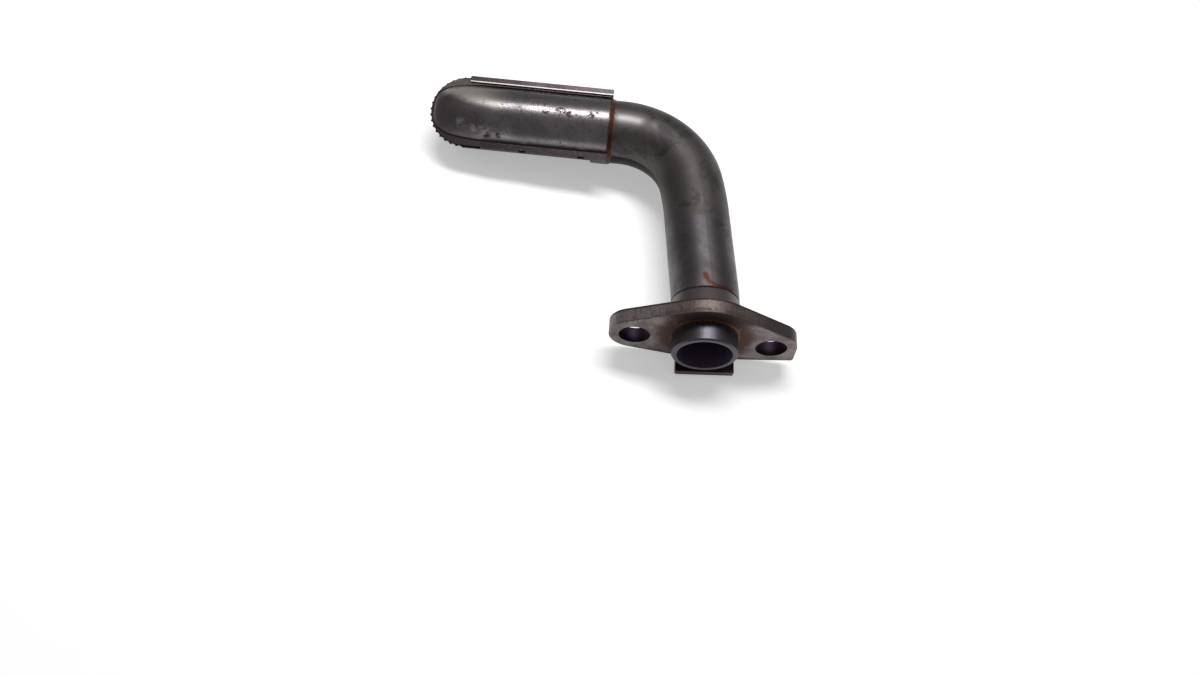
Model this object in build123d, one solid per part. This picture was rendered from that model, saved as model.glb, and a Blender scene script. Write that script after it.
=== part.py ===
from build123d import *
from math import atan2, ceil, cos, isclose, pi, radians, sin, sqrt, tan
import os

# Oil pickup tube: a bent steel tube brazed into a two-bolt flange, with a capsule strainer on its far end.
# Millimetres. The origin is the centre of the flange's mating face, on the spigot's axis.
# +X runs along the bolt line, +Y follows the tube away from the mating face, and +Z points away from
# the suction side, so the part lies on its strainer and the edge of its flange.

# Tube
spigot_radius = 9.5
spigot_length = 5.8
spigot_chamfer = 0.4
bore_radius = 8.0
seat_radius = 9.7
tube_radius = 10.0
bead_radius = 11.3
bead_height = 6.6
crease_depth = 0.12
crease_width = 0.5

# Bends of the tube, in order from the bead. They share one plane, which dips towards the suction side.
set_angle = 5.6
set_radius = 40.0
straight_length = 27.8
sweep_angle = 6.2
sweep_radius = 105.0
elbow_angle = 75.6
elbow_radius = 24.8
arm_length = 3.6
bend_dip = 4.2

# Flange plate
flange_thickness = 4.7
bolt_spacing = 40.0
bolt_hole_radius = 4.5
bolt_line_drop = 2.5
lobe_radius = 7.4
crown_radius = 14.5
heel_radius = 13.2
flange_edge_round = 0.5
corner_radius = 0.9
corner_reach = 7.9
corner_drop = 5.3
tongue_width = 17.4
tongue_offset = 2.1
tongue_thickness = 2.0
tongue_gap = 0.1
tongue_length = 5.7
tongue_end_skew = 4.3

# Strainer shells
sheet = 0.5
socket_depth = 5.0
capsule_length = 58.4
seam_roll = 19.0
seam_height = 4.6
hood_foot_round = 0.8
slope_start = 34.0
slope_tip_gap = 1.2
slope_plan_power = 3.8
hem_lip = 1.9
hem_foot_gap = 0.4
hem_side_clearance = 0.02
socket_step = 0.85
hem_notches = [(7.2, 2.1), (26.0, 2.0)]
near_hem_end = 40.5
far_hem_end = 46.4

# Teeth round the domed end, where the perforated sheet was cut through its holes
tooth_pitch = 2.1
tooth_depth = 0.5

# Perforations of the basket
hole_radius = 1.3
hole_rows = 5
hole_row_step = 36.0
hole_pitch = 5.3
dome_hole_rings = [(38.0, 5), (66.0, 3)]

# Fits and braze
fit_clearance = 0.05
spigot_braze_leg = 0.6
bead_braze_leg = 0.5
hood_braze_leg = 1.1
hood_braze_rise = 0.45

bead_top = flange_thickness + bead_height
spigot_hole_radius = seat_radius + fit_clearance
hood_inner = tube_radius + fit_clearance
hood_radius = hood_inner + sheet
basket_radius = hood_radius - socket_step
hood_toe = sqrt((hood_radius + hood_foot_round) ** 2 - (seam_height + sheet + hood_foot_round) ** 2)
seam_half_width = hood_toe + hem_foot_gap + hem_lip
dome_centre = capsule_length - seam_half_width
hood_flange_half = seam_half_width - sheet - hem_side_clearance


def bend_plane():
    """Plane of the bends: its x runs the way the arm leaves, its y along the spigot."""
    dip = radians(bend_dip)
    return Plane(origin=(0, 0, 0), x_dir=(-cos(dip), 0, -sin(dip)), z_dir=(sin(dip), 0, -cos(dip)))


def centre_line():
    """Straight runs and tangent arcs from the bead's top to the end inside the strainer."""
    turns = [(set_angle, set_radius), (sweep_angle, sweep_radius), (elbow_angle, elbow_radius)]
    edges = []
    point = Vector(0, bead_top)
    heading = 0.0
    lengths = [0.0, straight_length, 0.0, arm_length + socket_depth]
    for index, length in enumerate(lengths):
        ahead = Vector(sin(radians(heading)), cos(radians(heading)))
        if length > 0:
            edges.append(Edge.make_line(point, point + ahead * length))
            point = point + ahead * length
        if index < len(turns):
            angle, radius = turns[index]
            arc = Edge.make_tangent_arc(point, ahead, arc_end(point, heading, angle, radius))
            edges.append(arc)
            point = arc_end(point, heading, angle, radius)
            heading += angle
    return Wire(edges), point, heading


def arc_end(point, heading, angle, radius):
    """End of an arc that turns from the heading, measured from +y towards +x, by the angle."""
    start, stop = radians(heading), radians(heading + angle)
    return point + Vector(radius * (cos(start) - cos(stop)), radius * (sin(stop) - sin(start)))


def strainer_plane():
    """Plane of the strainer: origin on the arm's axis at the hood's open end, x along the arm,
    z square to the seam, y towards the flange."""
    line, end, heading = centre_line()
    along = Vector(sin(radians(heading)), cos(radians(heading)))
    mouth = end - along * socket_depth
    plane = bend_plane()
    arm = plane.from_local_coords(along) - plane.from_local_coords(Vector(0, 0, 0))
    origin = plane.from_local_coords(mouth)
    up = Vector(0, 0, 1)
    up = (up - arm * up.dot(arm)).normalized()
    normal = up.rotate(Axis((0, 0, 0), arm), -seam_roll)
    if normal.Y > 0:
        normal = up.rotate(Axis((0, 0, 0), arm), seam_roll)
    return Plane(origin=origin, x_dir=arm, z_dir=normal)


def make_tube():
    """Spigot, bead and bends, with the bore running through all of it."""
    spigot_end = -spigot_length
    crease = crease_width / 2
    profile = Polyline(
        (0, spigot_end), (spigot_radius - spigot_chamfer, spigot_end),
        (spigot_radius, spigot_end + spigot_chamfer), (spigot_radius, 0),
        (seat_radius, 0), (seat_radius, flange_thickness),
        (bead_radius, flange_thickness), (tube_radius, bead_top - crease_width),
        (tube_radius - crease_depth, bead_top - crease), (tube_radius, bead_top), (0, bead_top),
        close=True)
    foot = revolve(make_face(profile), Axis.Y)
    line, end, heading = centre_line()
    path = bend_plane().from_local_coords(line)
    start = Plane(origin=(0, bead_top, 0), z_dir=(0, 1, 0))
    bent = sweep(start * Circle(tube_radius), path)
    hollow = sweep(start * Circle(bore_radius), path)
    mouth = Plane(origin=(0, spigot_end, 0), z_dir=(0, 1, 0)) * Circle(bore_radius)
    bore = extrude(mouth, spigot_length + bead_top, dir=(0, 1, 0))
    return foot + bent - bore - hollow


def flange_outline():
    """Kite outline in the mating plane: local x along the bolt line, local y up."""
    lobes = [Location((side * bolt_spacing / 2, -bolt_line_drop)) * Circle(lobe_radius) for side in (-1, 1)]
    corner = Location((bolt_spacing / 2 + corner_reach - corner_radius,
                       -bolt_line_drop - corner_drop)) * Circle(corner_radius)
    top = make_hull(Circle(crown_radius).edges() + lobes[0].edges() + lobes[1].edges())
    bottom = make_hull(Circle(heel_radius).edges() + lobes[0].edges() + lobes[1].edges() + corner.edges())
    size = bolt_spacing + crown_radius
    upper = Location((0, size / 2 - bolt_line_drop)) * Rectangle(2 * size, size)
    return (top & upper) + (bottom - upper)


def make_flange():
    """Stamped plate with its bolt holes, the hole for the spigot and the tongue below it."""
    mating = Plane.XZ
    plate = extrude(mating * flange_outline(), -flange_thickness)
    back = plate.edges().group_by(Axis.Y)[-1]
    plate = fillet(back, flange_edge_round)
    depth = 3 * flange_thickness
    cutters = [Circle(spigot_hole_radius)]
    for side in (-1, 1):
        cutters.append(Location((side * bolt_spacing / 2, -bolt_line_drop)) * Circle(bolt_hole_radius))
    for cutter in cutters:
        plate -= extrude(mating * cutter, depth, both=True)
    circles = plate.edges().filter_by(GeomType.CIRCLE)
    rims = circles.filter_by(lambda rim: isclose(rim.radius, spigot_hole_radius))
    plate = chamfer(rims.group_by(Axis.Y)[0], spigot_braze_leg)
    return plate + make_tongue()


def make_tongue():
    """Tongue below the spigot, its end cut a little off square."""
    top = -(spigot_hole_radius + spigot_braze_leg + tongue_gap)
    left, right = tongue_offset - tongue_width / 2, tongue_offset + tongue_width / 2
    skew = tongue_width * tan(radians(tongue_end_skew)) / 2
    outline = Polyline((left, flange_thickness / 2), (left, -tongue_length - skew),
                       (right, -tongue_length + skew), (right, flange_thickness / 2), close=True)
    tongue = extrude(Plane.XY.offset(top - tongue_thickness) * make_face(outline), tongue_thickness)
    corners = tongue.edges().filter_by(Axis.Z).group_by(Axis.Y)[0]
    return fillet(corners, tongue_thickness / 3)


def foot_half_width(radius):
    """Half width of a round section where the seam plane cuts it."""
    return sqrt(radius ** 2 - seam_height ** 2)


def mirrored(half):
    """Whole section from one half."""
    return half + mirror(half, Plane.YZ)


def run_and_end(half, run_from, run_to):
    """Straight run of a section along the strainer's x, closed by half a turn about the dome's centre."""
    section = Plane(origin=(run_from, 0, 0), x_dir=(0, 1, 0), z_dir=(1, 0, 0))
    run = extrude(section * mirrored(half), run_to - run_from)
    turn = Plane(origin=(run_to, 0, 0), x_dir=(0, 1, 0), z_dir=(1, 0, 0))
    end = revolve(turn * half, Axis((run_to, 0, 0), (0, 0, 1)), -180)
    return run + end


def plain_arch(half_width, height, below):
    """Outline of a plain arch over the seam plane, closed a little below it: local x across, y up."""
    foot_right, foot_left = (half_width, 0), (-half_width, 0)
    low_right, low_left = (half_width, -below), (-half_width, -below)
    return [
        ThreePointArc(foot_left, (0, height), foot_right),
        Line(foot_right, low_right),
        Line(low_right, low_left),
        Line(low_left, foot_left),
    ]


def flared_arch(half_width, height):
    """Outline of an arch whose feet flare out into the top of the seam flange."""
    radius = (half_width ** 2 + height ** 2) / (2 * height)
    centre = height - radius
    rise = sheet + hood_foot_round - centre
    toe = sqrt((radius + hood_foot_round) ** 2 - rise ** 2)
    share = radius / (radius + hood_foot_round)
    side, level = toe * share, centre + rise * share
    lean = atan2(toe, rise) / 2
    waist, step = toe - hood_foot_round * sin(lean), sheet + hood_foot_round * (1 - cos(lean))
    base = sheet / 2
    return [
        ThreePointArc((toe, sheet), (waist, step), (side, level)),
        ThreePointArc((side, level), (0, height), (-side, level)),
        ThreePointArc((-side, level), (-waist, step), (-toe, sheet)),
        Line((-toe, sheet), (-toe, base)),
        Line((-toe, base), (toe, base)),
        Line((toe, base), (toe, sheet)),
    ]


def arched_body(radius, tip, outline):
    """One smooth body along the strainer's x: a level arch, then a far end that slopes down to the tip
    while its plan stays blunt. The outline makes each section from its half width and height."""
    half_width = foot_half_width(radius)
    height = radius - seam_height
    level_runs = 6
    stations = [(slope_start * index / level_runs, 1.0, 1.0) for index in range(level_runs)]
    for angle in (0, 15, 30, 44, 57, 69, 80):
        reach = sin(radians(angle))
        plan = (1 - reach ** slope_plan_power) ** (1 / slope_plan_power)
        stations.append((slope_start + (tip - slope_start) * reach, plan, cos(radians(angle))))
    sections = []
    for x, plan, rise in stations:
        section = Plane(origin=(x, 0, seam_height), x_dir=(0, 1, 0), z_dir=(1, 0, 0))
        sections.append(section * make_face(outline(half_width * plan, height * rise)))
    return loft(sections)


def make_hood():
    """Plain upper shell of the strainer in its own plane: an arched skin on a flat seam flange."""
    tip = capsule_length - slope_tip_gap
    size = 2 * capsule_length
    beyond = Location((dome_centre + size / 2, 0)) * Rectangle(size, size)
    outline = Location((dome_centre / 2, 0)) * Rectangle(dome_centre, 2 * hood_flange_half)
    outline += (Location((dome_centre, 0)) * Circle(hood_flange_half)) & beyond
    flange = extrude(Plane.XY.offset(seam_height) * outline, sheet)
    skin = arched_body(hood_radius, tip, flared_arch)
    hollow = arched_body(hood_inner, tip - sheet, lambda width, height: plain_arch(width, height, 2 * sheet))
    return flange + skin - hollow


def basket_half_section(outer):
    """Half of the lower shell's section for a wall of the given outer radius, with its flange."""
    size = 2 * seam_half_width
    ring = Circle(outer) - Circle(outer - sheet)
    below = Location((size / 2, seam_height - sheet - size / 2)) * Rectangle(size, size)
    strip_start = foot_half_width(outer - sheet)
    strip_width = seam_half_width - strip_start
    strip = Location((strip_start + strip_width / 2, seam_height - sheet / 2)) * Rectangle(strip_width, sheet)
    return (ring & below) + (strip - Circle(outer - sheet))


def hem_section():
    """Hem beyond the hood's flange: a wall up its edge and a lip folded over it."""
    wall_width = sheet
    wall = Location((seam_half_width - wall_width / 2, seam_height + sheet)) * Rectangle(wall_width, 2 * sheet)
    lip = Location((seam_half_width - hem_lip / 2, seam_height + 1.5 * sheet)) * Rectangle(hem_lip, sheet)
    return wall + lip


def hem_runs():
    """Spans of the hem along each side: the near side is relieved by notches."""
    spans = []
    start = 0.0
    for place, width in hem_notches:
        spans.append((start, place, 1))
        start = place + width
    spans.append((start, near_hem_end, 1))
    spans.append((0.0, far_hem_end, -1))
    return spans


def make_basket():
    """Perforated lower shell: belled socket round the tube's end, round wall, hem, teeth and holes."""
    across = Plane(origin=(0, 0, 0), x_dir=(0, 1, 0), z_dir=(1, 0, 0))
    bell_end = socket_depth + sheet
    bell = extrude(across * mirrored(basket_half_section(hood_radius)), socket_depth)
    shoulder_size = 4 * seam_half_width
    below = Location((0, seam_height - shoulder_size / 2)) * Rectangle(shoulder_size, shoulder_size)
    shoulder_section = (Circle(hood_radius) - Circle(basket_radius - sheet)) & below
    shoulder = extrude(across.offset(socket_depth) * shoulder_section, sheet)
    body = run_and_end(basket_half_section(basket_radius), socket_depth, dome_centre)
    basket = bell + shoulder + body
    for start, stop, side in hem_runs():
        piece = hem_section() if side > 0 else mirror(hem_section(), Plane.YZ)
        basket += extrude(across.offset(start) * piece, stop - start)
    basket -= make_teeth_cutters()
    basket -= make_hole_cutters(bell_end)
    return basket


def make_teeth_cutters():
    """Scallops that leave pointed teeth on the rim round the domed end."""
    arc = pi * seam_half_width
    count = ceil(arc / tooth_pitch)
    step = 180.0 / count
    half_chord = seam_half_width * sin(radians(step / 2))
    scallop = (half_chord ** 2 + tooth_depth ** 2) / (2 * tooth_depth)
    reach = seam_half_width - tooth_depth + scallop
    cutters = []
    for index in range(count):
        angle = radians(-90 + step * (index + 0.5))
        place = Location((dome_centre + reach * cos(angle), reach * sin(angle), seam_height - sheet / 2))
        cutters.append(place * Cylinder(scallop, 2 * sheet))
    return cutters


def make_hole_cutters(first):
    """Drills for the perforations: staggered rows round the wall, then rings on the domed end."""
    depth = 4 * sheet
    middle = basket_radius - sheet / 2
    cutters = []
    run = dome_centre - first - 2 * hole_radius
    columns = int(run / hole_pitch)
    for row in range(hole_rows):
        angle = -90 + (row - (hole_rows - 1) / 2) * hole_row_step
        stagger = (row % 2) * hole_pitch / 2
        for column in range(columns):
            x = first + 2 * hole_radius + stagger + column * hole_pitch
            place = Location((x, 0, 0), (angle, 0, 0)) * Location((0, middle, 0), (90, 0, 0))
            cutters.append(place * Cylinder(hole_radius, depth))
    for tilt, count in dome_hole_rings:
        for index in range(count):
            swing = -90 + 180.0 * (index + 0.5) / count
            place = Location((dome_centre, 0, 0), (0, 0, swing)) * Location((0, 0, 0), (0, tilt, 0))
            place = place * Location((middle, 0, 0), (0, 90, 0))
            cutters.append(place * Cylinder(hole_radius, depth))
    return cutters


def braze_ring(radius, leg_out, rise, lean):
    """Braze ring that stands on its plane, round a core of the radius that narrows by lean on the way up."""
    outline = Polyline((radius, 0), (radius + leg_out, 0), (radius - lean, rise), close=True)
    return revolve(Plane.XZ * make_face(outline), Axis.Z)


def make_spigot_braze():
    """Braze in the countersink round the spigot, flush with the mating face."""
    outline = Polyline((seat_radius, 0), (spigot_hole_radius + spigot_braze_leg, 0),
                       (spigot_hole_radius, spigot_braze_leg), (seat_radius, spigot_braze_leg), close=True)
    return revolve(make_face(outline), Axis.Y)


def make_bead_braze():
    """Braze between the bead's foot and the flange's back."""
    lean = bead_braze_leg * (bead_radius - tube_radius) / (bead_height - crease_width)
    ring = braze_ring(bead_radius, bead_braze_leg, bead_braze_leg, lean)
    return Plane(origin=(0, flange_thickness, 0), z_dir=(0, 1, 0)) * ring


def make_hood_braze(plane):
    """Braze between the strainer's open end and the tube."""
    ring = braze_ring(tube_radius, hood_braze_rise, hood_braze_leg, 0)
    return Plane(origin=plane.origin, z_dir=-plane.x_dir) * ring


def as_solid(shape):
    """The one solid of a finished piece."""
    solids = shape.solids()
    return solids[0] if len(solids) == 1 else Compound(children=list(solids))


def make_parts():
    """All pieces of the pickup, each in its place."""
    strainer = strainer_plane()
    return {
        "pickup_tube": make_tube(),
        "mounting_flange": make_flange(),
        "strainer_hood": strainer.location * make_hood(),
        "strainer_basket": strainer.location * make_basket(),
        "spigot_braze": make_spigot_braze(),
        "bead_braze": make_bead_braze(),
        "hood_braze": make_hood_braze(strainer),
    }


os.makedirs("parts", exist_ok=True)
for name, shape in make_parts().items():
    export_step(as_solid(shape), f"parts/{name}.step")
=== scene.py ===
import bpy
from math import cos, radians, sin
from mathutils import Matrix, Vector


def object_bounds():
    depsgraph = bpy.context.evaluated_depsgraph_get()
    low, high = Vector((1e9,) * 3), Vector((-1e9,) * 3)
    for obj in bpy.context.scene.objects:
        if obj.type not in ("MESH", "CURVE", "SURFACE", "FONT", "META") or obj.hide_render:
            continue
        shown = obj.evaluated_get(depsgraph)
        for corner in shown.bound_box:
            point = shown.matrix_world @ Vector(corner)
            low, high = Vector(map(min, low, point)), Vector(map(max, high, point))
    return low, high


# Oil pickup tube on a pale floor. Metres, in the CAD's own frame: +X along the bolt line, +Y along the
# tube away from the mating face, +Z away from the suction side.

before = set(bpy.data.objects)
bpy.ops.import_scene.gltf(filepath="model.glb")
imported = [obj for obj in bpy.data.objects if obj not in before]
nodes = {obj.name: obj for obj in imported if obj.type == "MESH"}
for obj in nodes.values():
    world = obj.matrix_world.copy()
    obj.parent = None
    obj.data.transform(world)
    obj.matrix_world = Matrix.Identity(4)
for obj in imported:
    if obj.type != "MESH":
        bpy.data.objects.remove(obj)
cad_low, cad_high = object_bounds()

MM = 0.001

# Camera of the photograph, found from the flange's outline and holes
camera_place = Vector((-43.8, -124.3, 223.3)) * MM
camera_turn = (28.09, -5.50, 3.64)
lens_mm = 27.0
sensor_mm = 36.0

# One soft light above the part, dim surroundings and the floor
world_level = 0.27
world_colour = (1.0, 0.99, 0.98)
key_power = 2.6
key_size = (0.42, 0.13)
key_place = Vector((0.0, 0.22, 0.62))
floor_colour = (0.95, 0.95, 0.95)
floor_lift = 0.36
floor_half = 3.0

# Sizes of the part that the stains follow, in mm
bore_radius = 8.0
spigot_length = 5.8
flange_thickness = 4.7
bead_top = 11.3
bolt_places = ((-20.0, 0.0, -2.5), (20.0, 0.0, -2.5))
bolt_hole_radius = 4.5
seam_height = 4.6
sheet = 0.5
lip_inner = 10.1
bend_dip = 4.2
elbow_radius = 24.8
elbow_centre = (-28.8, 49.0, 0.0)

# Way square to the plane of the bends, up from the suction side
bend_normal = Vector((-sin(radians(bend_dip)), 0, cos(radians(bend_dip))))

# The strainer's axes: a point at its open end, the way to its domed end, the way square to its seam
# and the way across it to the near side
strainer_place = (-31.5, 74.0, -2.3)
strainer_way = Vector((-0.9963, 0.0454, -0.0732)).normalized()
seam_roll = 19.0
seam_up = (Vector((0, 0, 1)) - strainer_way * strainer_way.z).normalized()
seam_normal = seam_up * cos(radians(seam_roll)) - strainer_way.cross(seam_up) * sin(radians(seam_roll))
seam_across = seam_normal.cross(strainer_way)

# Places of the tube's stains and of its painted highlight, in mm: a centre with a radius, or the points of a
# line
elbow_highlight_spot = ((-26.0, 72.5, 7.6), 6.0)
leg_smudge_spot = ((4.0, 33.6, 7.6), 4.2)
bead_oil_spot = ((7.6, 15.5, 6.3), 0.8)
drip_line = [(-1.9, 15.2, 9.9), (-1.6, 14.2, 9.9), (-0.6, 12.7, 9.9), (1.2, 11.8, 9.9),
             (3.4, 11.6, 9.4), (6.2, 11.5, 7.8)]

# Places of the hood's stains, its painted highlight and its painted reflection, in mm
dome_glint_line = [(-83.0, 81.5, 2.2), (-78.5, 80.0, 3.9), (-73.5, 77.5, 5.4), (-62.0, 74.0, 6.8)]
crown_smudges = [((-48.0, 71.8, 6.7), 2.4), ((-45.0, 71.0, 6.9), 1.6), ((-38.5, 71.4, 7.3), 1.8),
                 ((-60.6, 71.8, 5.5), 1.8), ((-52.5, 71.2, 6.2), 1.6)]
dome_reflection_line = [(-78.5, 68.2, 0.3), (-74.5, 67.4, 0.3), (-69.0, 66.4, 0.2), (-65.0, 66.3, 0.6)]
foot_smudges = [((-70.5, 65.4, -1.2), 1.8), ((-66.8, 65.6, -0.6), 1.5)]

# Share of a stain's radius in which it is full
spot_core = 0.5
streak_core = 0.4

# Noises that every metal has, in features per metre
mottle_scale = 95.0
speck_scale = 1100.0

# Stains of more than one metal: a colour, and a roughness or None where the metal keeps its own
rust = ((0.115, 0.062, 0.043), 0.60)
old_oil = ((0.045, 0.035, 0.036), 0.50)
pit = ((0.030, 0.022, 0.024), 0.60)

# Stains of the tube, with a painted highlight and painted shade at the elbow and a painted tint in the bore
weathered = ((0.100, 0.091, 0.086), 0.54)
dark_blotch = ((0.055, 0.048, 0.052), None)
pale_cloud = ((0.140, 0.130, 0.116), 0.44)
# Lighter, glossier spot where the elbow meets the arm: a painted highlight
elbow_painted_highlight = ((0.180, 0.168, 0.168), 0.33)
# Dark band on the down-facing inner side of the elbow: painted shade
underside_shade = ((0.014, 0.010, 0.013), 0.42)
leg_smudge = ((0.045, 0.038, 0.043), None)
hoop_mark = ((0.070, 0.062, 0.068), None)
cone_steel = ((0.160, 0.132, 0.134), 0.42)
bead_brown = ((0.050, 0.032, 0.030), 0.55)
drip_brown = ((0.085, 0.036, 0.024), 0.50)
copper = ((0.125, 0.052, 0.037), 0.50)
spigot_steel = ((0.102, 0.098, 0.112), 0.37)
spigot_mark = ((0.052, 0.050, 0.062), None)
mouth_steel = ((0.085, 0.080, 0.088), 0.40)
# Tint of the bore: a painted colour standing in for its shade
bore_shade_tint = ((0.170, 0.125, 0.205), 0.60)

# Stains of the flange, with painted shade at the crown, the heel and the hole walls
face_steel = ((0.270, 0.238, 0.228), 0.50)
face_mottle = ((0.150, 0.125, 0.120), None)
face_rust = ((0.098, 0.054, 0.040), 0.65)
crown_shade = ((0.050, 0.035, 0.035), 0.60)
lobe_steel = ((0.250, 0.218, 0.222), 0.50)
crown_steel = ((0.185, 0.148, 0.142), 0.50)
rim_rust = ((0.065, 0.032, 0.024), 0.60)
heel_shade = ((0.070, 0.053, 0.058), 0.50)
shear_mark = ((0.075, 0.060, 0.062), None)
flange_grit = ((0.060, 0.048, 0.048), None)
# Dark bolt hole walls: painted shade
hole_wall_shade = ((0.030, 0.021, 0.033), 0.55)

# Stains of the hood, the basket and the braze, with painted highlights, a painted reflection and painted
# shade
dome_brown = ((0.105, 0.086, 0.088), 0.40)
dome_glint = ((0.580, 0.550, 0.500), 0.38)
# Pale streak low on the near side of the dome: a painted reflection
dome_painted_reflection = ((0.300, 0.286, 0.305), 0.42)
# Tan line along the hood's far foot: a painted highlight
far_foot_highlight = ((0.400, 0.340, 0.240), 0.40)
foot_shade = ((0.052, 0.042, 0.046), 0.30)
seam_shade = ((0.034, 0.027, 0.030), 0.30)
hood_rust = ((0.080, 0.038, 0.030), 0.50)
# Bright edge on the far side of the basket's hem: a painted highlight
lip_painted_highlight = ((0.620, 0.600, 0.570), 0.50)
bright_braze = ((0.340, 0.150, 0.065), 0.50)


def add_node(tree, kind, inputs=None, **settings):
    """New shader node with its settings, its sockets set to values or linked to other sockets."""
    made = tree.nodes.new(kind)
    for name, value in settings.items():
        setattr(made, name, value)
    for key, value in (inputs or {}).items():
        if isinstance(value, bpy.types.NodeSocket):
            tree.links.new(value, made.inputs[key])
        else:
            made.inputs[key].default_value = value
    return made


def noise(tree, place, scale, detail=3.0, rough=0.7, twist=0.0):
    """Noise over the object, in features per metre."""
    inputs = {"Vector": place, "Scale": scale, "Detail": detail, "Roughness": rough, "Distortion": twist}
    return add_node(tree, "ShaderNodeTexNoise", inputs).outputs[0]


def stretched(tree, place, x, y, z):
    """Coordinates scaled along each axis, for grain or distance that ignores an axis."""
    inputs = {0: place, 1: (x, y, z)}
    return add_node(tree, "ShaderNodeVectorMath", inputs, operation="MULTIPLY").outputs[0]


def ramp(tree, value, start, stop, low=0.0, high=1.0):
    """Value carried smoothly from low to high as it goes from start to stop."""
    if start > stop:
        start, stop, low, high = stop, start, high, low
    inputs = {0: value, 1: start, 2: stop, 3: low, 4: high}
    return add_node(tree, "ShaderNodeMapRange", inputs, interpolation_type="SMOOTHSTEP").outputs[0]


def maths(tree, operation, a, b):
    """Sum, product or the like of two values, kept between 0 and 1."""
    return add_node(tree, "ShaderNodeMath", {0: a, 1: b}, operation=operation, use_clamp=True).outputs[0]


def chained(tree, operation, values):
    """One operation carried through some values, from the first to the last."""
    total, *others = values
    for value in others:
        total = maths(tree, operation, total, value)
    return total


def product(tree, *shares):
    """Share that is left where all the given shares meet."""
    return chained(tree, "MULTIPLY", shares)


def mixed(tree, share, under, over):
    """Colour under, covered by colour over by the share."""
    inputs = {0: share, 6: under, 7: over}
    return add_node(tree, "ShaderNodeMix", inputs, data_type="RGBA").outputs[2]


def bent(parts, value, depth):
    """A distance with its edge bent by the mottle, up to the depth in mm."""
    inputs = {0: parts["mottle"], 1: depth, 2: value}
    return add_node(parts["tree"], "ShaderNodeMath", inputs, operation="MULTIPLY_ADD").outputs[0]


def far(parts, place, centre, edge):
    """Bent distance in mm from a place to a centre, which is a point in mm or a socket in metres."""
    tree = parts["tree"]
    if not isinstance(centre, bpy.types.NodeSocket):
        centre = tuple(Vector(centre) * MM)
    inputs = {0: place, 1: centre}
    distance = add_node(tree, "ShaderNodeVectorMath", inputs, operation="DISTANCE").outputs[1]
    inputs = {0: distance, 1: 1 / MM}
    millimetres = add_node(tree, "ShaderNodeMath", inputs, operation="MULTIPLY").outputs[0]
    return bent(parts, millimetres, edge)


def stain(parts, distance, radius, core, edge):
    """Share of a stain or painted mark by its bent distance. Half the edge is what the mottle adds on
    average.
    """
    return ramp(parts["tree"], distance, radius + edge / 2, radius * core + edge / 2)


def patches(parts, spots, edge):
    """Share of stains or painted marks given as (centre, radius) in mm, with wandering edges."""
    shares = []
    for centre, radius in spots:
        distance = far(parts, parts["place"], centre, edge)
        shares.append(stain(parts, distance, radius, spot_core, edge))
    return chained(parts["tree"], "MAXIMUM", shares)


def streak(parts, points, radius, edge):
    """Share of a stain or painted mark that runs along a line of points in mm, with wandering edges."""
    tree = parts["tree"]
    shares = []
    for start, stop in zip(points, points[1:]):
        way = (Vector(stop) - Vector(start)) * MM
        inputs = {0: parts["place"], 1: tuple(Vector(start) * MM)}
        ahead = add_node(tree, "ShaderNodeVectorMath", inputs, operation="SUBTRACT").outputs[0]
        inputs = {0: ahead, 1: tuple(way / way.length_squared)}
        dot = add_node(tree, "ShaderNodeVectorMath", inputs, operation="DOT_PRODUCT").outputs[1]
        # Adding nothing keeps the nearest point between the two ends
        inputs = {0: tuple(way), 3: maths(tree, "ADD", dot, 0.0)}
        nearest = add_node(tree, "ShaderNodeVectorMath", inputs, operation="SCALE").outputs[0]
        shares.append(stain(parts, far(parts, ahead, nearest, edge), radius, streak_core, edge))
    return chained(tree, "MAXIMUM", shares)


def reach(parts, point, way):
    """How far the object's surface lies from a point in mm, measured along a way of unit length."""
    tree = parts["tree"]
    inputs = {0: parts["place"], 1: tuple(Vector(way) / MM)}
    dot = add_node(tree, "ShaderNodeVectorMath", inputs, operation="DOT_PRODUCT").outputs[1]
    inputs = {0: dot, 1: Vector(point).dot(Vector(way))}
    return add_node(tree, "ShaderNodeMath", inputs, operation="SUBTRACT").outputs[0]


def band(parts, value, low, high, soft):
    """Share that is full between two values and fades within the soft distance of them."""
    tree = parts["tree"]
    rising = ramp(tree, value, low - soft, low + soft)
    falling = ramp(tree, value, high + soft, high - soft)
    return product(tree, rising, falling)


def axis_distance(parts, centre=(0.0, 0.0, 0.0), edge=0.0):
    """Bent distance in mm from a line along Y through a point."""
    flat = stretched(parts["tree"], parts["place"], 1.0, 0.0, 1.0)
    return far(parts, flat, (centre[0], 0.0, centre[2]), edge)


def along(parts, axis):
    """The object's coordinate along an axis, in mm."""
    tree = parts["tree"]
    split = add_node(tree, "ShaderNodeSeparateXYZ", {0: parts["place"]})
    inputs = {0: split.outputs["XYZ".index(axis)], 1: 1 / MM}
    return add_node(tree, "ShaderNodeMath", inputs, operation="MULTIPLY").outputs[0]


def rgba(red, green, blue):
    """Colour with full alpha."""
    return (red, green, blue, 1.0)


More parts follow.
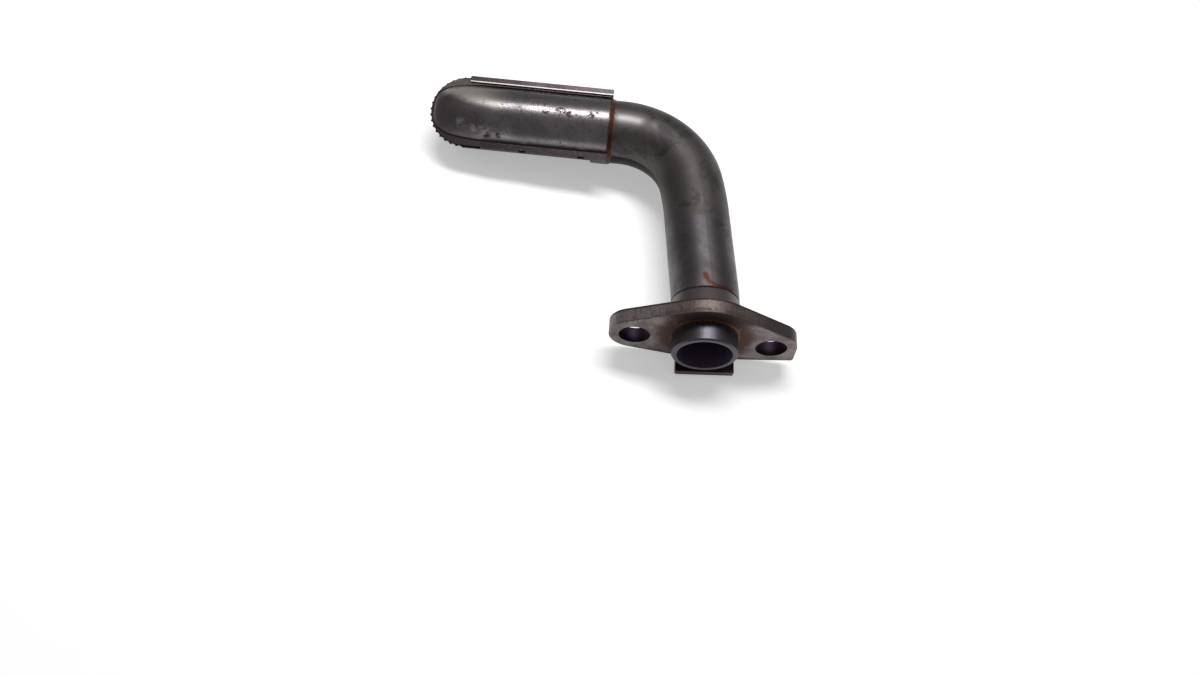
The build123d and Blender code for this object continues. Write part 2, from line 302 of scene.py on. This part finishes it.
def metal(name, base, deep, rough, grain, grain_mm, bevel_mm=0.0):
    """Worn metal: mottled colour, uneven gloss, a fine grain and, with a bevel, softened edges."""
    material = bpy.data.materials.new(name)
    material.use_nodes = True
    tree = material.node_tree
    shader = tree.nodes["Principled BSDF"]
    place = add_node(tree, "ShaderNodeTexCoord").outputs["Object"]
    mottle = noise(tree, place, mottle_scale, detail=7.0, rough=0.66, twist=0.5)
    speck = noise(tree, place, speck_scale)
    colour = mixed(tree, ramp(tree, mottle, 0.38, 0.66), rgba(*base), rgba(*deep))
    fine = noise(tree, place, grain, rough=0.6)
    uneven = maths(tree, "ADD", product(tree, mottle, 0.6), product(tree, speck, 0.4))
    gloss = ramp(tree, uneven, 0.35, 0.65, *rough)
    tree.links.new(gloss, shader.inputs["Roughness"])
    shader.inputs["Metallic"].default_value = 1.0
    inputs = {"Height": fine, "Distance": grain_mm * MM, "Strength": 0.6}
    if bevel_mm:
        inputs["Normal"] = add_node(tree, "ShaderNodeBevel", {"Radius": bevel_mm * MM}, samples=4).outputs[0]
    bump = add_node(tree, "ShaderNodeBump", inputs)
    tree.links.new(bump.outputs[0], shader.inputs["Normal"])
    tree.links.new(colour, shader.inputs["Base Color"])
    return {"material": material, "tree": tree, "shader": shader, "place": place,
            "mottle": mottle, "colour": colour, "gloss": gloss}


def cover(parts, share, finish):
    """Lays a stain or a painted mark of light or shade over a metal by the share: its colour, and its
    roughness where it has one.
    """
    tree, shader = parts["tree"], parts["shader"]
    colour, rough = finish
    parts["colour"] = mixed(tree, share, parts["colour"], rgba(*colour))
    tree.links.new(parts["colour"], shader.inputs["Base Color"])
    if rough is not None:
        inputs = {0: share, 2: parts["gloss"], 3: rough}
        parts["gloss"] = add_node(tree, "ShaderNodeMix", inputs, data_type="FLOAT").outputs[0]
        tree.links.new(parts["gloss"], shader.inputs["Roughness"])


def broken(parts, share, scale, start, stop):
    """Share of a stain, broken up by a noise of its own."""
    tree = parts["tree"]
    grit = noise(tree, parts["place"], scale, detail=5.0, twist=0.3)
    return product(tree, share, ramp(tree, grit, start, stop))


def pits(parts, scale, start, share=0.8):
    """Small dark pits scattered over a metal."""
    tree = parts["tree"]
    grit = noise(tree, parts["place"], scale, detail=2.0, rough=0.5)
    spots = ramp(tree, grit, start, start + 0.05, 0.0, share)
    cover(parts, spots, pit)


def weather_sweep(parts, high):
    """Sweep, elbow and arm: duller than the leg, with dark blotches and pale clouds."""
    tree = parts["tree"]
    cover(parts, ramp(tree, high, 38.0, 42.5, 0.0, 0.8), weathered)
    upper = ramp(tree, high, 38.0, 46.0)
    blotches = ramp(tree, parts["mottle"], 0.5, 0.62)
    cover(parts, product(tree, upper, blotches, 0.8), dark_blotch)
    clouds = noise(tree, stretched(tree, parts["place"], 1.0, 0.45, 1.0), 150.0, detail=5.0, twist=0.6)
    cover(parts, product(tree, upper, ramp(tree, clouds, 0.52, 0.66), 0.45), pale_cloud)


def stain_elbow(parts):
    """Elbow: a painted highlight on a glossier spot where it meets the arm, and painted shade underneath on
    the inner side of the bend.
    """
    tree = parts["tree"]
    # Painted highlight on a glossier spot where the elbow meets the arm
    cover(parts, product(tree, patches(parts, [elbow_highlight_spot], 3.0), 0.75), elbow_painted_highlight)
    under = ramp(tree, reach(parts, (0.0, 0.0, 0.0), bend_normal), 0.25, -0.15)
    flat = stretched(tree, parts["place"], 1.0, 1.0, 0.0)
    inner = ramp(tree, far(parts, flat, elbow_centre, 3.0), elbow_radius - 0.3, elbow_radius - 3.3)
    past_leg = ramp(tree, along(parts, "X"), -9.0, -12.0)
    # Painted shade on the down-facing half of the bend's inner side
    cover(parts, product(tree, inner, past_leg, under), underside_shade)


def stain_leg(parts, high):
    """Leg: a smudge and fine hoops round it. The pits run on over the whole tube."""
    tree = parts["tree"]
    cover(parts, broken(parts, patches(parts, [leg_smudge_spot], 3.0), 300.0, 0.38, 0.55), leg_smudge)
    hoops = noise(tree, stretched(tree, parts["place"], 0.2, 1.0, 0.2), 3400.0)
    lower = ramp(tree, high, 44.0, 34.0, 0.0, 0.5)
    cover(parts, product(tree, ramp(tree, hoops, 0.48, 0.66), lower), hoop_mark)
    pits(parts, 760.0, 0.735)


def stain_bead(parts, y):
    """Bead: a paler cone, brown at its top, rust at its foot and a run of braze above it."""
    tree = parts["tree"]
    cone = band(parts, y, flange_thickness + 0.2, bead_top - 0.4, 0.2)
    cover(parts, product(tree, cone, 0.7), cone_steel)
    top = band(parts, y, bead_top - 0.7, bead_top + 0.1, 0.25)
    cover(parts, broken(parts, top, 420.0, 0.3, 0.55), bead_brown)
    foot = band(parts, bent(parts, y, 1.6), flange_thickness - 0.5, flange_thickness + 1.9, 0.3)
    cover(parts, broken(parts, foot, 260.0, 0.35, 0.6), rust)
    cover(parts, streak(parts, drip_line, 0.95, 1.2), drip_brown)
    cover(parts, streak(parts, drip_line[:2], 1.15, 1.4), drip_brown)
    cover(parts, patches(parts, [bead_oil_spot], 0.8), old_oil)


def finish_spigot(parts, y):
    """Spigot: bare steel with fine marks along it, a darker edge at its mouth, and a painted tint in the bore
    that stands in for its shade.
    """
    tree = parts["tree"]
    ahead = ramp(tree, y, 0.3, -0.3)
    cover(parts, ahead, spigot_steel)
    marks = noise(tree, stretched(tree, parts["place"], 1.0, 0.08, 1.0), 2400.0)
    cover(parts, product(tree, ramp(tree, marks, 0.46, 0.64, 0.0, 0.5), ahead), spigot_mark)
    cover(parts, ramp(tree, y, 0.6 - spigot_length, 0.3 - spigot_length), mouth_steel)
    bore = ramp(tree, axis_distance(parts), bore_radius + 0.08, bore_radius + 0.02)
    # Painted tint in the bore, standing in for its shade
    cover(parts, product(tree, bore, ramp(tree, y, 16.0, 14.0)), bore_shade_tint)


def make_tube_metal():
    """Tube: satin steel, stained at the elbow, the leg, the bead and the strainer, with a painted highlight
    and painted shade at the elbow, a bare spigot and a painted tint in the bore.
    """
    parts = metal("tube_steel", base=(0.118, 0.109, 0.115), deep=(0.080, 0.071, 0.076),
                  rough=(0.37, 0.50), grain=2600.0, grain_mm=0.02)
    y = along(parts, "Y")
    high = bent(parts, y, 9.0)
    weather_sweep(parts, high)
    stain_elbow(parts)
    stain_leg(parts, high)
    stain_bead(parts, y)
    beside = bent(parts, reach(parts, strainer_place, strainer_way), 3.4)
    cover(parts, broken(parts, band(parts, beside, 0.2, 1.9, 0.3), 520.0, 0.34, 0.50), copper)
    finish_spigot(parts, y)
    return parts


def stain_face(parts, y):
    """Mating face: worn and mottled, with rust round the spigot and a dark crown."""
    tree = parts["tree"]
    face = ramp(tree, y, 0.35, 0.1)
    cover(parts, product(tree, face, 0.85), face_steel)
    cover(parts, broken(parts, face, 150.0, 0.42, 0.60), face_mottle)
    halo = ramp(tree, axis_distance(parts, edge=5.0), 18.6, 14.4)
    cover(parts, broken(parts, product(tree, halo, face), 240.0, 0.24, 0.46), face_rust)
    middle = band(parts, along(parts, "X"), -12.5, 13.5, 3.0)
    crown = ramp(tree, bent(parts, along(parts, "Z"), 3.0), 9.6, 11.6)
    cover(parts, product(tree, middle, crown, face, 0.9), crown_shade)


def stain_edge(parts, y):
    """Plate's edge: bright at the left lobe, brown in the middle, rusty at the rear rim, dark at the heel."""
    tree = parts["tree"]
    x = along(parts, "X")
    edge = ramp(tree, y, 0.35, 0.6)
    cover(parts, product(tree, ramp(tree, x, -10.0, -15.0), edge, 0.8), lobe_steel)
    middle = product(tree, band(parts, x, -13.0, 13.0, 3.0), edge)
    cover(parts, product(tree, middle, 0.7), crown_steel)
    front = product(tree, middle, band(parts, bent(parts, y, 2.0), 0.6, 2.6, 0.5))
    cover(parts, product(tree, broken(parts, front, 330.0, 0.36, 0.56), 0.8), rust)
    rim = band(parts, y, flange_thickness - 0.85, flange_thickness - 0.2, 0.15)
    cover(parts, product(tree, broken(parts, rim, 420.0, 0.2, 0.4), 0.9), rim_rust)
    heel = ramp(tree, along(parts, "Z"), -9.0, -10.4)
    cover(parts, product(tree, heel, 0.8), heel_shade)
    sheared = noise(tree, stretched(tree, parts["place"], 1.0, 0.12, 1.0), 1300.0)
    cover(parts, product(tree, ramp(tree, sheared, 0.47, 0.62, 0.0, 0.5), edge), shear_mark)


def make_flange_metal():
    """Flange: stamped, grained steel with painted shade on the hole walls."""
    parts = metal("flange_steel", base=(0.122, 0.104, 0.107), deep=(0.085, 0.070, 0.072),
                  rough=(0.44, 0.58), grain=3200.0, grain_mm=0.05, bevel_mm=0.14)
    tree = parts["tree"]
    y = along(parts, "Y")
    stain_face(parts, y)
    stain_edge(parts, y)
    pits(parts, 800.0, 0.69)
    grit = noise(tree, parts["place"], 1500.0)
    cover(parts, ramp(tree, grit, 0.5, 0.64, 0.0, 0.4), flange_grit)
    for place in bolt_places:
        wall = ramp(tree, axis_distance(parts, place), bolt_hole_radius + 0.14, bolt_hole_radius + 0.05)
        # Painted shade on the bolt hole walls
        cover(parts, wall, hole_wall_shade)
    return parts


def stain_dome(parts, x):
    """Domed end: darker brown towards the end, under a painted highlight band."""
    tree = parts["tree"]
    cover(parts, ramp(tree, x, -64.0, -82.0, 0.0, 0.85), dome_brown)
    # Painted highlight band over the dome
    glint = streak(parts, dome_glint_line, 5.6, 6.0)
    cover(parts, product(tree, glint, ramp(tree, x, -62.0, -78.0, 0.0, 0.95)), dome_glint)


def stain_hood(parts, x):
    """Hood's sheet: pits, smudges on the crown, a painted reflection low on the near side of the dome and a
    painted tan highlight along the far foot.
    """
    tree = parts["tree"]
    pits(parts, 560.0, 0.68)
    pits(parts, 1500.0, 0.655, share=0.7)
    cover(parts, broken(parts, patches(parts, crown_smudges, 3.0), 620.0, 0.44, 0.58), old_oil)
    # Painted reflection: a pale streak low on the near side of the dome
    cover(parts, broken(parts, streak(parts, dome_reflection_line, 2.3, 5.0), 330.0, 0.42, 0.60), dome_painted_reflection)
    across = bent(parts, reach(parts, strainer_place, seam_across), 1.0)
    # Painted highlight along the far foot of the hood, towards the domed end
    far_foot_highlight_mask = product(tree, band(parts, across, -9.2, -8.0, 0.4), 0.45, ramp(tree, x, -38.0, -46.0))
    cover(parts, far_foot_highlight_mask, far_foot_highlight)
    cover(parts, broken(parts, patches(parts, foot_smudges, 2.6), 500.0, 0.40, 0.56), old_oil)


def shade_seam(parts, x):
    """Foot and seam flange of the hood: dark, with rust at the open end."""
    tree = parts["tree"]
    height = reach(parts, strainer_place, seam_normal)
    foot = ramp(tree, bent(parts, height, 0.8), seam_height + 2.6, seam_height + 1.3, 0.0, 0.8)
    cover(parts, product(tree, foot, ramp(tree, x, -76.0, -66.0)), foot_shade)
    cover(parts, ramp(tree, height, seam_height + 0.8, seam_height + 0.6, 0.0, 0.9), seam_shade)
    beside = bent(parts, reach(parts, strainer_place, strainer_way), 1.6)
    cover(parts, broken(parts, ramp(tree, beside, 1.3, 0.9), 520.0, 0.3, 0.5), hood_rust)


def make_hood_metal():
    """Hood: glossier drawn sheet, brown at the domed end, with painted highlights on the dome and the far
    foot, a painted reflection low on the dome and painted shade at its seam.
    """
    parts = metal("hood_steel", base=(0.240, 0.220, 0.230), deep=(0.160, 0.144, 0.153),
                  rough=(0.22, 0.32), grain=2600.0, grain_mm=0.03, bevel_mm=0.15)
    x = along(parts, "X")
    stain_dome(parts, x)
    stain_hood(parts, x)
    shade_seam(parts, x)
    return parts


def make_basket_metal():
    """Basket: dark sheet with small pits and a painted highlight along the inner edge of its hem's far side.
    """
    parts = metal("basket_steel", base=(0.058, 0.048, 0.053), deep=(0.038, 0.030, 0.034),
                  rough=(0.20, 0.28), grain=2600.0, grain_mm=0.02, bevel_mm=0.1)
    tree = parts["tree"]
    pits(parts, 600.0, 0.66)
    height = reach(parts, strainer_place, seam_normal)
    across = reach(parts, strainer_place, seam_across)
    top = ramp(tree, height, seam_height + sheet, seam_height + 1.5 * sheet)
    lip = band(parts, across, -lip_inner - 0.3, -lip_inner + 1.0, 0.05)
    # Painted highlight along the inner edge of the hem's far side
    cover(parts, product(tree, top, lip), lip_painted_highlight)
    return parts


def make_braze_metal():
    """Braze: dull copper colour, darker in patches, brighter above the spigot."""
    parts = metal("braze", base=(0.115, 0.050, 0.036), deep=(0.060, 0.030, 0.026),
                  rough=(0.42, 0.60), grain=1500.0, grain_mm=0.06)
    tree = parts["tree"]
    front = ramp(tree, along(parts, "Y"), 2.0, 1.0)
    upper = ramp(tree, along(parts, "Z"), 2.0, 8.0)
    cover(parts, product(tree, front, upper), bright_braze)
    return parts


tube_metal = make_tube_metal()
flange_metal = make_flange_metal()
hood_metal = make_hood_metal()
basket_metal = make_basket_metal()
braze_metal = make_braze_metal()

slots = {
    "pickup_tube": tube_metal,
    "mounting_flange": flange_metal,
    "strainer_hood": hood_metal,
    "strainer_basket": basket_metal,
    "spigot_braze": braze_metal,
    "bead_braze": braze_metal,
    "hood_braze": braze_metal,
}
for name, parts in slots.items():
    for slot in nodes[name].material_slots:
        slot.material = parts["material"]


def make_floor():
    """Pale floor at the part's lowest point, a little brighter to the camera and in reflections."""
    level = cad_low.z
    corners = [(-floor_half, -floor_half, level), (floor_half, -floor_half, level),
               (floor_half, floor_half, level), (-floor_half, floor_half, level)]
    mesh = bpy.data.meshes.new("floor")
    mesh.from_pydata(corners, [], [(0, 1, 2, 3)])
    floor = bpy.data.objects.new("floor", mesh)
    bpy.context.scene.collection.objects.link(floor)
    material = bpy.data.materials.new("floor_paint")
    material.use_nodes = True
    tree = material.node_tree
    shader = tree.nodes["Principled BSDF"]
    shader.inputs["Base Color"].default_value = rgba(*floor_colour)
    shader.inputs["Roughness"].default_value = 0.9
    shader.inputs["Specular IOR Level"].default_value = 0.1
    seen = add_node(tree, "ShaderNodeLightPath").outputs
    rays = [seen["Is Camera Ray"], seen["Is Glossy Ray"], seen["Is Transmission Ray"]]
    lift = product(tree, chained(tree, "ADD", rays), floor_lift)
    shader.inputs["Emission Color"].default_value = rgba(1.0, 1.0, 1.0)
    tree.links.new(lift, shader.inputs["Emission Strength"])
    mesh.materials.append(material)


def add_light(name, place, aim, power, width, height):
    """Soft area light at a place, turned to its aim."""
    lamp = bpy.data.lights.new(name, "AREA")
    lamp.energy = power
    lamp.shape = "RECTANGLE"
    lamp.size = width
    lamp.size_y = height
    thing = bpy.data.objects.new(name, lamp)
    thing.location = place
    thing.rotation_mode = "QUATERNION"
    thing.rotation_quaternion = (aim - place).to_track_quat("-Z", "Y")
    bpy.context.scene.collection.objects.link(thing)


def make_world():
    """Even, dim surroundings."""
    world = bpy.data.worlds.new("studio")
    world.use_nodes = True
    background = world.node_tree.nodes["Background"]
    background.inputs["Color"].default_value = rgba(*world_colour)
    background.inputs["Strength"].default_value = world_level
    bpy.context.scene.world = world


def make_camera():
    """Camera at the photograph's viewing angle."""
    data = bpy.data.cameras.new("camera")
    data.lens = lens_mm
    data.sensor_width = sensor_mm
    data.clip_start = 0.01
    camera = bpy.data.objects.new("camera", data)
    camera.location = camera_place
    camera.rotation_euler = [radians(angle) for angle in camera_turn]
    bpy.context.scene.collection.objects.link(camera)
    bpy.context.scene.camera = camera


make_floor()
make_world()
make_camera()
add_light("key_light", key_place, (cad_low + cad_high) / 2, key_power, *key_size)
bpy.context.scene.view_settings.view_transform = "Standard"
